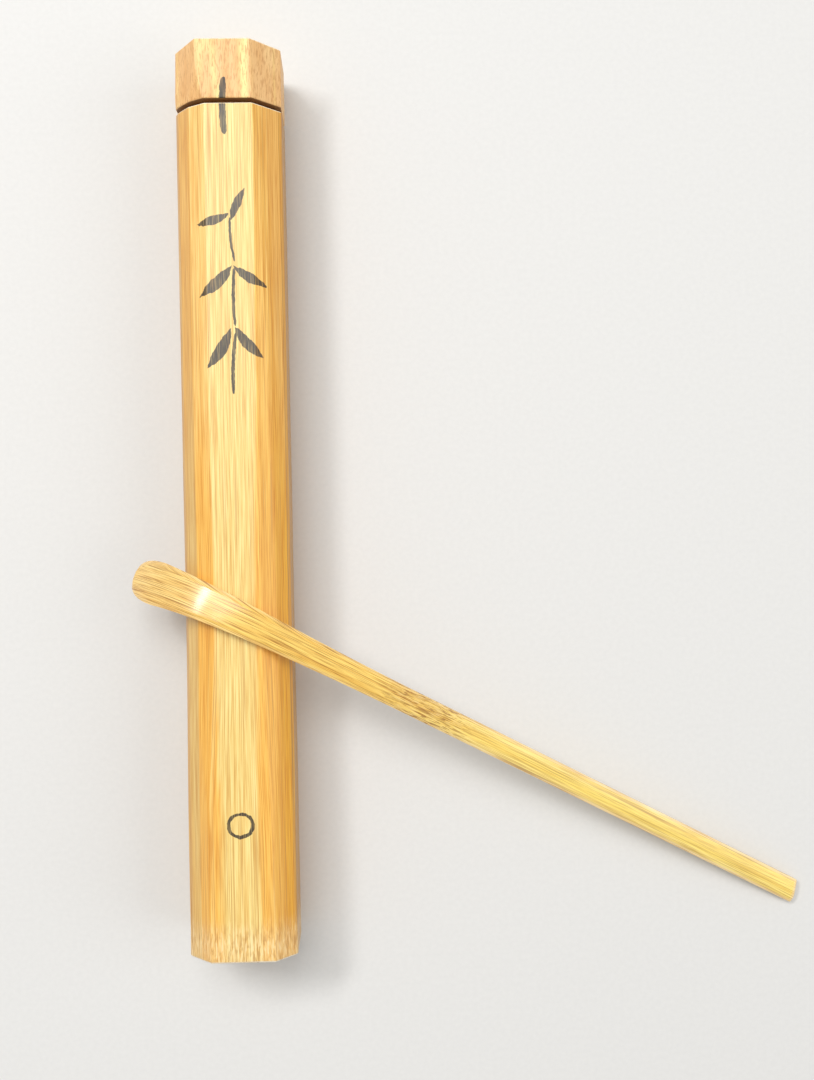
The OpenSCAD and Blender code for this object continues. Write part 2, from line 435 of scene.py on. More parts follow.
@dataclass(frozen=True)
class PlanedBamboo:
    """Bamboo with its skin planed or cut away, the way tea scoops and their cases are finished.

    That gives long straight fibres as fine darker lines, broad pale and tan bands where the plane
    went deeper or shallower, short broken streaks beside a joint of the culm, and a satin sheen.
    Real fibres are about 0.1 mm wide, and are drawn nearly twice as wide here so that they show.
    """

    name: str
    roughness: float
    coat: float
    fibre_mm: float
    fibre_run_mm: float
    node_from: float
    node_to: float
    line_colour: str = "#DAB684"
    dark_colour: str = "#C08A45"
    node_colour: str = "#A9733A"
    sliver_colour: str = "#FCE7B2"
    contrast: float = 0.5
    far_contrast: float = 0.5
    far_from: float = 90.0
    far_to: float = 130.0
    node_strength: float = 0.6
    sliver_strength: float = 0.5
    streak_mm: tuple[float, float] = (0.34, 3.0)
    bump_mm: float = 0.04
    ink: BrushInk | None = None

    def build(self) -> bpy.types.Material:
        """Makes the material.

        The unrolled map gives millimetres across the fibres in its first number and along them in
        its second. Noise that is stretched along the fibres gives lines at two widths, and their
        contrast eases from one value to another between far_from and far_to. Noise that is
        stretched less, between node_from and node_to, gives the joint's broken streaks: its
        highest parts are dark, and its lowest are pale slivers.

        Returns:
            The finished material.
        """
        material, tree, shader = blank(self.name)
        bare = add(tree, "Attribute", {}, "Color", attribute_name="tone")
        unrolled = add(tree, "UVMap", {}, uv_map="unrolled")
        across, run = 1 / self.fibre_mm, 1 / self.fibre_run_mm
        fine = noise(tree, unrolled, (across, run, 0.0), {"Detail": 3.0, "Roughness": 0.6})
        broad = noise(tree, unrolled, (across / 5, run / 3, 0.0),
                      {"Detail": 2.0, "Roughness": 0.5, "Distortion": 0.3}, Location=(7.0, 3.0, 0.0))
        sparse = noise(tree, unrolled, (across / 1.3, run / 2.5, 0.0), {"Detail": 0.0},
                       Location=(31.0, 17.0, 0.0))
        along = add(tree, "SeparateXYZ", {"Vector": unrolled}, "Y")
        contrast = ranged(tree, along, (self.far_from, self.far_to), (self.contrast, self.far_contrast))
        shade = add(tree, "ValToRGB", {"Fac": fine},
                    stops=((0.38, self.line_colour), (0.49, "#F5E8CE"), (0.58, "#FFFFFF")))
        wide = add(tree, "ValToRGB", {"Fac": broad}, stops=((0.34, "#EBD2A6"), (0.56, "#FFFFFF")))
        toned = blend(tree, contrast, bare, shade, "MULTIPLY")
        toned = blend(tree, maths(tree, "MULTIPLY", contrast, 0.65), toned, wide, "MULTIPLY")
        toned = blend(tree, ranged(tree, sparse, (0.62, 0.72), (0.0, 0.5)), toned, self.dark_colour)
        dark, pale = self.joint_streaks(tree, unrolled, along)
        toned = blend(tree, pale, toned, self.sliver_colour)
        toned = blend(tree, dark, toned, self.node_colour)
        if self.ink:
            toned = self.ink.over(tree, toned)
        wire(tree, shader, {
            "Base Color": toned,
            "Roughness": ranged(tree, broad, (0.0, 1.0), (self.roughness - 0.05, self.roughness + 0.1)),
            "Normal": add(tree, "Bump", {"Height": fine, "Strength": 0.25, "Distance": self.bump_mm * MM}),
            "IOR": 1.53, "Coat Weight": self.coat, "Coat Roughness": 0.17,
        })
        return material

    def joint_streaks(self, tree: Tree, unrolled: Socket, along: Socket) -> tuple[Socket, Socket]:
        """Adds the short broken streaks of a joint of the culm.

        Args:
            tree: Node tree that gets the nodes.
            unrolled: Place on the unrolled skin, in millimetres.
            along: Its second number, the distance along the fibres.

        Returns:
            How much of the joint's dark colour shows, and how much of its pale slivers.
        """
        middle, reach = (self.node_from + self.node_to) / 2, abs(self.node_to - self.node_from) / 2
        off = maths(tree, "ABSOLUTE", maths(tree, "SUBTRACT", along, middle))
        near = ranged(tree, off, (reach, reach * 0.35), interpolation_type="SMOOTHSTEP")
        wide, long = self.streak_mm
        short = noise(tree, unrolled, (1 / wide, 1 / long, 0.0),
                      {"Detail": 2.5, "Roughness": 0.6, "Distortion": 0.35}, Rotation=(0.0, 0.0, 0.12))
        dark = ranged(tree, short, (0.51, 0.60), (0.0, self.node_strength))
        pale = ranged(tree, short, (0.47, 0.38), (0.0, self.sliver_strength))
        return maths(tree, "MULTIPLY", near, dark), maths(tree, "MULTIPLY", near, pale)


@dataclass(frozen=True)
class PlainWood:
    """Wood or bamboo with its pores open: sawn ends, the bore, and the stopper's planed cedar.

    A sawn end of bamboo shows dark dots, the cut ends of its fibres. Planed cedar shows fine open
    pores that run with the grain. The raw inside of a culm is matt and faintly streaked. Real
    pores are about 0.1 mm across, and are drawn a few times coarser here so that they show.
    """

    name: str
    pore_colour: str
    pore_mm: Triple
    pore_from: float
    pore_to: float
    pore_strength: float
    roughness: float
    bump_mm: float = 0.03
    ink: BrushInk | None = None

    def build(self) -> bpy.types.Material:
        """Makes the material: the painted tone, darkened by pores of the given size on each axis.

        Returns:
            The finished material.
        """
        material, tree, shader = blank(self.name)
        bare = add(tree, "Attribute", {}, "Color", attribute_name="tone")
        place = add(tree, "TexCoord", {}, "Object")
        scale = tuple(1 / (size * MM) for size in self.pore_mm)
        pores = noise(tree, place, scale, {"Detail": 3.0, "Roughness": 0.6, "Distortion": 0.4})
        cloudy = noise(tree, place, tuple(s / 6 for s in scale), {"Detail": 1.0})
        light = add(tree, "ValToRGB", {"Fac": cloudy}, stops=((0.3, "#F2E2C8"), (0.6, "#FFFFFF")))
        toned = blend(tree, 0.6, bare, light, "MULTIPLY")
        mask = ranged(tree, pores, (self.pore_from, self.pore_to), (0.0, self.pore_strength))
        toned = blend(tree, mask, toned, self.pore_colour)
        if self.ink:
            toned = self.ink.over(tree, toned)
        bump = add(tree, "Bump", {"Height": pores, "Strength": 0.3, "Distance": self.bump_mm * MM},
                   invert=True)
        wire(tree, shader, {"Base Color": toned, "Normal": bump, "Roughness": self.roughness, "IOR": 1.5})
        return material


@dataclass(frozen=True)
class MattSheet:
    """Plain matt studio sheet under the object: one even pale tone with a very slight tooth."""

    name: str = "matt_card_floor"
    colour: str = "#DEDDDA"

    def build(self) -> bpy.types.Material:
        """Makes the material: an even colour that a fine faint noise lightens and darkens.

        Returns:
            The finished material.
        """
        material, tree, shader = blank(self.name)
        tooth = add(tree, "TexNoise", {"Vector": add(tree, "TexCoord", {}, "Object"), "Scale": 900.0,
                                       "Detail": 2.0})
        shade = add(tree, "ValToRGB", {"Fac": tooth},
                    stops=((0.3, tuple(linear(self.colour) * 0.97)), (0.7, self.colour)))
        wire(tree, shader, {"Base Color": shade, "Roughness": 0.9})
        return material


# ---------------------------------------------------------------- the case

# Finish of each band, in the order that a piece lists its materials.
PLANED, SAWN, WALL, BORE = range(4)


def strip_kind(strips: np.ndarray) -> np.ndarray:
    """Tells what each strip is.

    Args:
        strips: Strip numbers, 0 to 16.

    Returns:
        0 for a flat, then 1, 2 and 3 over a shoulder, away from the upper or the lower flat.
    """
    which = np.floor(strips).astype(int) % 16
    return np.where(which // 4 % 2 == 0, which % 4, (4 - which % 4) % 4)


@dataclass(frozen=True)
class CasePlaning:
    """How the outside of the case is planed, the same for the tube and the stopper's head.

    A corner's two cuts are how much its facet takes off the horizontal and the upright flat. The
    corners are counted from the lower right one round by way of the upper right one.
    """

    half: float
    case_l: float
    joint_at: float
    shoulder_r: tuple[float, float, float, float] = (13.05, 13.32, 12.86, 13.05)
    side_lean_deg: float = 1.1
    facet_fade: float = 76.0
    foot_cuts: tuple[tuple[float, float], ...] = ((5.0, 5.4), (4.5, 4.6), (5.3, 5.3), (5.4, 5.0))
    joint_cuts: tuple[tuple[float, float], ...] = ((5.6, 5.6), (6.1, 6.1), (5.7, 6.3), (5.6, 5.6))
    head_cuts: tuple[tuple[float, float], ...] = ((5.4, 5.4), (6.4, 6.6), (5.4, 7.8), (5.6, 5.4))
    strokes: tuple[float, ...] = (0.44, 0.42, 0.14)
    shoulder_deg: float = 46.0
    hand_depth: float = 0.11
    arris: float = 0.035
    lean_pivot: float = 6.5
    end_cut: float = 4.4
    least_cosine: float = 0.3
    out_of_reach: float = 50.0
    flat_columns: int = 16
    stroke_columns: int = 12

    def cuts(self, t: np.ndarray) -> np.ndarray:
        """Gives both cuts of each corner.

        Args:
            t: Distances from the foot.

        Returns:
            Cuts, rows by corners by two.
        """
        keys = np.array([self.foot_cuts, self.joint_cuts, self.head_cuts])
        places = (0.0, self.joint_at, self.case_l)
        flat = keys.reshape(3, -1)
        return np.stack([np.interp(t, places, flat[:, k]) for k in range(8)], -1).reshape(len(t), 4, 2)

    def round_radii(self, t: np.ndarray) -> np.ndarray:
        """Radii of the four shoulders: they grow towards both ends until only facets are left.

        Args:
            t: Distances from the foot.

        Returns:
            Radii, rows by shoulders.
        """
        middle = np.array(self.shoulder_r)
        missing = np.hypot(self.half, self.half - self.end_cut) - middle
        foot = 1 - ease(t / self.facet_fade)
        head = np.clip((t - self.joint_at) / (self.case_l - self.joint_at), 0, 1)
        return middle + missing * (foot + head)[:, None]

    def flat_turns(self) -> np.ndarray:
        """Direction that each flat faces; the right one leans in a little towards the underside."""
        return np.pi / 2 * (np.arange(4) - 1) - np.radians(self.side_lean_deg) * np.array([0, 1, 0, 0])

    def flat_depths(self, t: np.ndarray) -> np.ndarray:
        """Distance of each flat from the middle line, a little less where the plane dug in.

        The dips are long waves of 21 mm with a few short ones of 6 mm, and fade out at the foot.
        The right flat leans about a line that lies lean_pivot above its middle.

        Args:
            t: Distances from the foot.

        Returns:
            Distances, rows by flats.
        """
        dips = [waver(t, 21.0, 40 + k) * 0.75 + waver(t, 6.0, 50 + k) * 0.25 for k in range(4)]
        lean = np.radians(self.side_lean_deg)
        pulled_in = self.half * (1 - np.cos(lean)) + self.lean_pivot * np.sin(lean)
        leaned = np.array([0.0, pulled_in, 0.0, 0.0])
        hand = self.hand_depth * (0.5 + 0.5 * np.stack(dips, -1)) * ease((t + 4) / 12)[:, None]
        return self.half - leaned - hand

    def columns(self, t: np.ndarray) -> tuple[np.ndarray, np.ndarray]:
        """Places the columns so that they follow the edges of the flats.

        A flat reaches sideways to the facet, or to where the round shoulder meets its plane, the
        angle whose cosine is the flat's depth over the shoulder's radius, whichever is nearer.

        Args:
            t: Distances from the foot.

        Returns:
            Angles in radians and strip numbers 0 to 16, both rows by columns and one more column
            that repeats the first. Each flat is one strip, and each shoulder has three.
        """
        cuts, depths = self.cuts(t), self.flat_depths(t)
        radii, turns = self.round_radii(t), self.flat_turns()
        edges = []
        for flat in range(4):
            for sign, corner in ((-1.0, (flat + 3) % 4), (1.0, flat)):
                aside = np.arctan2(self.half - cuts[:, corner, flat % 2], self.half)
                facet = np.pi / 2 * (flat - 1) + sign * aside
                meets = np.arccos(np.minimum(depths[:, flat] / radii[:, corner], 1.0))
                shoulder = turns[flat] + sign * meets
                edges.append(sign * np.minimum(sign * facet, sign * shoulder))
        edges.append(edges[0] + 2 * np.pi)
        angles, strips = [], []
        for k in range(8):
            is_flat = k % 2 == 0
            shares = self.strokes if k // 2 % 2 == 0 else self.strokes[::-1]
            even = np.arange(3 * self.stroke_columns) / self.stroke_columns
            steps = crowded(self.flat_columns) if is_flat else even
            reach = steps if is_flat else np.interp(even, range(4), np.append(0.0, np.cumsum(shares)))
            angles.append(edges[k][:, None] + (edges[k + 1] - edges[k])[:, None] * reach)
            strips.append(np.broadcast_to(4 * (k // 2) + (0 if is_flat else 1) + steps, angles[-1].shape))
        angles.append(edges[8][:, None])
        strips.append(np.full((len(t), 1), 16.0))
        return np.concatenate(angles, 1), np.concatenate(strips, 1)

    def radii(self, t: np.ndarray, angles: np.ndarray, strips: np.ndarray) -> np.ndarray:
        """Distance of the surface from the middle line.

        It is the softened least of the four flats, the four corner facets and the round shoulder.
        The shoulder has two faint ridges, because three strokes of the plane make it: between two
        ridges it sags by half the square of the angle from the stroke's middle to its ridge, the
        way a straight line sags inside a circle. Softening takes a small natural log of a
        sum of exponentials, which rounds each edge by about a tenth of a millimetre.

        Args:
            t: Distances from the foot.
            angles: Angles from the columns method.
            strips: Strip numbers from the columns method.

        Returns:
            Radii, rows by columns.
        """
        cuts, depths = self.cuts(t), self.flat_depths(t)
        planes = []
        for k in range(4):
            planes.append((np.full(len(t), self.flat_turns()[k]), depths[:, k]))
            across, upright = cuts[:, k, 0], cuts[:, k, 1]
            lean = np.arctan2(across, upright)
            near = (self.half * (across + upright) - across * upright) / np.hypot(across, upright)
            normal = (-lean, lean, np.pi - lean, np.pi + lean)[k]
            planes.append((normal, near))
        half_angles = np.radians(self.shoulder_deg) / 2 * np.array((0.0, *self.strokes))
        sag = half_angles[strip_kind(strips)] ** 2 / 2
        ridged = ease((t - 20) / 70)[:, None]
        bulge = 1 - sag * ridged * (1 - (2 * np.mod(strips, 1.0) - 1) ** 2)
        hand = 1 - 0.002 * (1 + flame(strips, (t / 17.0)[:, None] + 0 * strips, 77))
        corner = np.floor((strips - 0.5) / 4).astype(int) % 4
        sheets = [np.take_along_axis(self.round_radii(t), corner, 1) * bulge * hand]
        for normal, near in planes:
            cosine = np.cos(angles - normal[:, None])
            sheet = near[:, None] / np.maximum(cosine, self.least_cosine)
            sheets.append(np.where(cosine > self.least_cosine, sheet, self.out_of_reach))
        stack = np.stack(sheets)
        least = stack.min(0)
        return least - self.arris * np.log(np.exp(-(stack - least) / self.arris).sum(0))

    def wrap(self, path: tuple[np.ndarray, ...], foot: float, axis_z: float,
             measured: int) -> tuple[np.ndarray, np.ndarray, np.ndarray]:
        """Turns a list of rings into points.

        Args:
            path: For each ring its distance from the foot, the radius of its circle, its share of
                the planed outline, its inset from that outline, and the finish of its band.
            foot: Where the foot is along the row's Y axis.
            axis_z: Height of the case's middle line.
            measured: Number of the ring whose girth unrolls them all.

        Returns:
            Points, places on the unrolled skin, and strip numbers.
        """
        t, circle, share, inset = path[:4]
        angles, strips = self.columns(t)
        outline = self.radii(t, angles, strips) - inset[:, None]
        radii = share[:, None] * outline + (1 - share[:, None]) * circle[:, None]
        along = t[:, None] + 0 * radii
        rings = np.stack([radii * np.cos(angles), foot + along, axis_z + radii * np.sin(angles)], -1)
        steps = np.hypot(*np.diff(rings[measured][:, [0, 2]], axis=0).T)
        arc = np.append(0.0, steps.cumsum())
        return rings, np.stack([arc + 0 * radii, along], -1), strips


@dataclass(frozen=True)
class CaseTones:
    """Colours of the case's strips, from the cream of a deep cut to the amber near the skin; the darker tones
    beside and on the side flats are partly painted shade of the case's rounded sides.
    """

    cream: str = "#F7E094"
    straw: str = "#FFDD92"
    wheat: str = "#FADC8E"
    honey: str = "#F9C35A"
    amber: str = "#EDB34A"
    peach: str = "#FFD275"
    sand: str = "#F0BE66"
    oat: str = "#E9BB6A"
    corn: str = "#F9C563"
    khaki: str = "#E7C67D"
    ochre: str = "#F0B63A"
    # The two darkest tones, for the strips beside the side flats and for the side flats, are partly the
    # skin's colour and partly painted shade of the case's rounded sides.
    beige: str = "#D9B378"
    shell: str = "#C4984F"
    pith: str = "#FFE8B4"

    def strips(self, left: str, right: str) -> np.ndarray:
        """One colour for each of the sixteen strips.

        Args:
            left: Names of the four tones on the left: a shoulder's three strips and the left flat.
            right: The same for the right.

        Returns:
            Linear colours, from the bottom flat round by the right flat, the top and the left.
        """
        l1, l2, l3, l0 = left.split()
        r1, r2, r3, r0 = right.split()
        names = ("cream", r1, r2, r3, r0, r3, r2, r1, "cream", l1, l2, l3, l0, l3, l2, l1)
        return np.stack([linear(getattr(self, name)) for name in names])

    def paint(self, t: np.ndarray, strips: np.ndarray, offset: np.ndarray, length: float) -> np.ndarray:
        """Works out the colour of the planed outside.

        Each strip has one colour near the mouth and one near the foot. Flames of amber lie on the
        shoulders where a random height is above a threshold. Towards the foot the cream of the
        upper and lower flats narrows, and beside the node all tones go paler.

        Args:
            t: Distances from the foot.
            strips: Strip numbers, rows by columns.
            offset: Distance sideways from the middle of the flat, rows by columns.
            length: Length of the tube.

        Returns:
            Linear colours, rows by columns.
        """
        which = np.minimum(np.floor(strips).astype(int), 15)
        on_right = (which > 0) & (which < 8)
        t2 = t[:, None] + 0 * strips
        lower = ease((0.76 * length - t2 + 12 * flame(strips * 2, t2 / 40, 5)) / 55)
        # The last two tones on each side are partly painted shade of the rounded sides.
        mouth_tones = self.strips("straw oat beige beige", "peach sand shell shell")
        foot_tones = self.strips("corn khaki beige beige", "honey ochre shell shell")
        tone = mixed(mouth_tones[which], foot_tones[which], lower)
        flames = ease((flame(strips * 1.6, t2 / 52, 9) + 0.25 * flame(strips * 5, t2 / 25, 10) - 0.18) / 0.12)
        tone = mixed(tone, linear(self.amber), (0.2 + 0.4 * on_right) * flames * (which % 4 != 0))
        left_reach = 4.0 + 0.8 * ease((t2 - 40) / 100)
        right_reach = 4.1 + 1.9 * ease((t2 - 60) / 120)
        reach = np.where(offset > 0, right_reach, left_reach)
        edge = ease((np.abs(offset) - reach - 0.35 * flame(strips * 0 + 2, t2 / 16, 3)) / 0.5)
        tone = mixed(tone, linear(self.honey), 0.9 * edge * (which % 8 == 0))
        inner = ease((flame(strips * 7, t2 / 60, 21) - 0.2) / 0.3)
        tone = mixed(tone, linear(self.wheat), 0.5 * inner * (which % 8 == 0))
        return mixed(tone, linear(self.pith), 0.42 * ease((10 - t2) / 6))


@dataclass
class BambooTube:
    """The case's tube: planed outside, sawn rims, raw bore, and its node wall with a foot hollow."""

    planing: CasePlaning
    length: float
    bore_r: float = 10.0
    node_wall: float = 3.0
    foot_depth: float = 1.5
    foot_r: float = 9.0
    bevel: float = 0.4
    mouth_bevel: float = 0.3
    row_step: float = 1.0
    tones: CaseTones = field(default_factory=CaseTones)

    def path(self) -> tuple[np.ndarray, np.ndarray, np.ndarray, np.ndarray, np.ndarray]:
        """Lists the rings from the foot hollow, over the outside, and down into the bore.

        Returns:
            For each ring its distance from the foot, the radius of its circle, its share of the
            planed outline, its inset from that outline, and the finish of the band before it.
        """
        deep, floor, b, m = self.foot_depth, self.foot_depth + self.node_wall, self.bevel, self.mouth_bevel
        top, hole, hollow = self.length, self.bore_r, self.foot_r
        rows = [(deep - 0.25, 3.0, 0, 0, WALL), (deep - 0.18, 6.0, 0, 0, WALL), (deep, 8.4, 0, 0, WALL),
                (deep - 0.1, 8.9, 0, 0, WALL), (deep - 0.4, hollow, 0, 0, WALL), (0.15, hollow, 0, 0, BORE),
                (0.0, hollow + 0.15, 0, 0, SAWN), (0.0, hollow + 0.4, 0, 0, SAWN)]
        rows += [(0.0, hollow, 0.5, b / 2, SAWN), (0.0, hollow, 1, b + 0.06, SAWN),
                 (0.0, hollow, 1, b, SAWN), (0.03, hollow, 1, b - 0.05, SAWN),
                 (b * 0.55, hollow, 1, b * 0.4, SAWN), (b - 0.05, hollow, 1, 0.03, SAWN),
                 (b + 0.05, hollow, 1, 0, PLANED)]
        body = np.linspace(b + 0.8, top - 0.9, int(top / self.row_step))
        rows += [(t, hollow, 1, 0, PLANED) for t in body]
        rows += [(top - 0.3, hole, 1, 0, PLANED), (top - 0.22, hole, 1, 0.02, PLANED),
                 (top - 0.08, hole, 1, 0.12, SAWN), (top, hole, 1, 0.26, SAWN),
                 (top, hole, 1, 0.32, SAWN), (top, hole, 0.5, 0.1, SAWN),
                 (top, hole + 2 * m + 0.1, 0, 0, SAWN), (top, hole + 2 * m, 0, 0, SAWN),
                 (top - m / 2, hole + m, 0, 0, BORE), (top - m, hole, 0, 0, BORE),
                 (top - m - 0.5, hole, 0, 0, BORE)]
        rows += [(t, hole, 0, 0, BORE) for t in np.linspace(top - 8, floor + 6, 22)]
        rows += [(floor + 1.0, hole, 0, 0, BORE), (floor + 0.4, hole - 0.15, 0, 0, BORE),
                 (floor + 0.1, hole - 0.5, 0, 0, WALL), (floor, hole - 1.2, 0, 0, WALL),
                 (floor, 6.0, 0, 0, WALL), (floor, 3.0, 0, 0, WALL)]
        return tuple(np.array(column, float) for column in zip(*rows))

    def skin(self, foot: float, axis_z: float) -> Skin:
        """Works out the whole surface of the tube.

        Args:
            foot: Where the foot is along the row's Y axis.
            axis_z: Height of the tube's middle line.

        Returns:
            The surface, ready to build.
        """
        path = self.path()
        t, share, band = path[0], path[2], path[4]
        rings, unrolled, strips = self.planing.wrap(path, foot, axis_z, len(t) // 2)
        sideways = np.where(np.floor(strips) % 8 == 0, rings[..., 0], 0.0)
        paint = self.tones.paint(t, strips, sideways, self.length)
        for finish, colour in ((SAWN, "#E6C996"), (WALL, "#DDB880"), (BORE, "#E3C68F")):
            paint[band == finish] = linear(colour)
        # The end bevels are painted near white: pale sawn wood, painted brighter still as a highlight along
        # the edge.
        end_bevel = (share == 1) & ((t < self.bevel) | (t > self.length - 0.3))
        paint[end_bevel] = linear("#FFF1D6")
        poles = np.array([[0.0, foot + self.foot_depth - 0.3, axis_z],
                          [0.0, foot + self.foot_depth + self.node_wall, axis_z]])
        return Skin(rings[:, :-1], poles, unrolled, paint[:, :-1], np.append(band, WALL))


@dataclass
class CedarStopper:
    """The stopper: a head planed with the case, and a turned spigot that wedges in the bore."""

    planing: CasePlaning
    tube_l: float
    head_from: float
    spigot_l: float = 8.0
    spigot_r: float = 9.95
    spigot_bevel: float = 0.6
    bevel: float = 0.35
    tan: str = "#F3C98A"
    gold: str = "#FBE79C"
    bark: str = "#E2AC70"
    # Near white for the head's end bevel: pale cut cedar, painted brighter still as a highlight along the
    # edge.
    sawn: str = "#FFF2D6"
    # Dark brown painted into the open joint: painted shade that stands in for the shadow in the gap.
    gap_shade: str = "#6B3F1C"

    def path(self) -> tuple[np.ndarray, ...]:
        """Lists the rings from the end of the spigot, over the head's joint face, to its end face.

        Returns:
            The same five arrays as the tube's path.
        """
        top, joint, b, r = self.planing.case_l, self.head_from, self.bevel, self.spigot_r
        inner, tip_r, turned = self.tube_l - self.spigot_l, r - self.spigot_bevel, self.spigot_bevel
        rows = [(inner, 3.0, 0, 0, SAWN), (inner, 6.5, 0, 0, SAWN), (inner, tip_r - 0.1, 0, 0, SAWN),
                (inner, tip_r, 0, 0, SAWN), (inner + turned, r, 0, 0, PLANED),
                (inner + turned + 0.1, r, 0, 0, PLANED)]
        rows += [(t, r, 0, 0, PLANED) for t in np.linspace(inner + 1.5, joint - 0.3, 12)]
        rows += [(joint - 0.05, r, 0, 0, PLANED), (joint, r + 0.05, 0, 0, PLANED),
                 (joint, r + 0.3, 0, 0, SAWN), (joint, r, 0.5, 0.2, SAWN), (joint, r, 1, 0.28, SAWN),
                 (joint, r, 1, 0.22, SAWN), (joint + 0.07, r, 1, 0.1, PLANED),
                 (joint + 0.2, r, 1, 0.015, PLANED), (joint + 0.3, r, 1, 0, PLANED)]
        rows += [(t, r, 1, 0, PLANED) for t in np.linspace(joint + 0.6, top - b - 0.35, 44)]
        rows += [(top - b - 0.05, r, 1, 0, PLANED), (top - b + 0.04, r, 1, 0.03, PLANED),
                 (top - b * 0.5, r, 1, b * 0.45, PLANED), (top - 0.03, r, 1, b - 0.04, PLANED),
                 (top, r, 1, b, SAWN), (top, r, 1, b + 0.08, SAWN)]
        rows += [(top, 0.0, s, b * s, SAWN) for s in (0.8, 0.6, 0.4, 0.2)]
        return tuple(np.array(column, float) for column in zip(*rows))

    def grain(self, x: np.ndarray, y: np.ndarray, z: np.ndarray) -> np.ndarray:
        """Colour of the flat-sawn cedar: golden stripes in tan wood, two of them joined in a flame.

        A stripe is a soft band about a line that leans and bends; with d the distance from the
        head's end, the left pair meet near that end and part towards the joint. Lower down in
        the wood the stripes shift sideways, as growth rings do.

        Args:
            x: Positions across the case.
            y: Distances from the head's end, towards the tube.
            z: Depths below the upper flat.

        Returns:
            Linear colours.
        """
        drift = x + 0.22 * z - 0.006 * z ** 2 + 0.12 * waver(y, 3.0, 61)
        tone = mixed(linear(self.tan), linear(self.bark), 0.3 + 0.3 * flame(drift * 0.7 + 9, y / 9, 12))
        right = ease((0.85 - np.abs(drift - 4.45)) / 0.2)
        leg = ease((0.5 + 0.035 * y - np.abs(drift + 3.2 - 0.14 * y)) / 0.3)
        outer = ease((1.5 - 0.10 * y - np.abs(drift + 5.2 + 0.05 * y)) / 0.5) * ease((14 - y) / 4)
        apex = ease((3.4 - y) / 1.2) * ease((2.4 - np.abs(drift + 4.2)) / 0.6)
        far = ease((0.35 - np.abs(drift + 10.1)) / 0.3) + ease((0.4 - np.abs(drift - 11.5)) / 0.3)
        gold = np.maximum.reduce([right, 0.85 * leg, 0.6 * outer, 0.45 * apex, 0.35 * far])
        return mixed(tone, linear(self.gold), np.clip(gold, 0, 1) * 0.92)

    def skin(self, foot: float, axis_z: float) -> Skin:
        """Works out the whole surface of the stopper.

        Args:
            foot: Where the tube's foot is along the row's Y axis.
            axis_z: Height of the stopper's middle line.

        Returns:
            The surface, ready to build.
        """
        path = self.path()
        t, share, band = path[0], path[2], path[4]
        rings, unrolled, _ = self.planing.wrap(path, foot, axis_z, -12)
        none = 0 * rings[..., 0]
        paint = self.grain(rings[..., 0], self.planing.case_l - t[:, None] + none,
                           axis_z + self.planing.half - rings[..., 2])
        # The end bevel is painted near white: pale cut cedar, painted brighter still as a highlight along the
        # edge.
        end_bevel = (t > self.planing.case_l - self.bevel) & (share == 1)
        # The spigot and the head's joint face inside the open joint are painted dark brown: painted shade of
        # the gap.
        in_shaded_gap = (t > self.tube_l - 0.5) & (t < self.head_from + 0.05)
        paint = mixed(paint, linear(self.sawn), 0.8 * end_bevel[:, None] + none)
        paint = mixed(paint, linear(self.gap_shade), 0.85 * in_shaded_gap[:, None] + none)
        poles = np.array([[0.0, foot + self.tube_l - self.spigot_l, axis_z],
                          [0.0, foot + self.planing.case_l, axis_z]])
        return Skin(rings[:, :-1], poles, unrolled, paint[:, :-1], np.append(band, SAWN))


# ---------------------------------------------------------------- the scoop

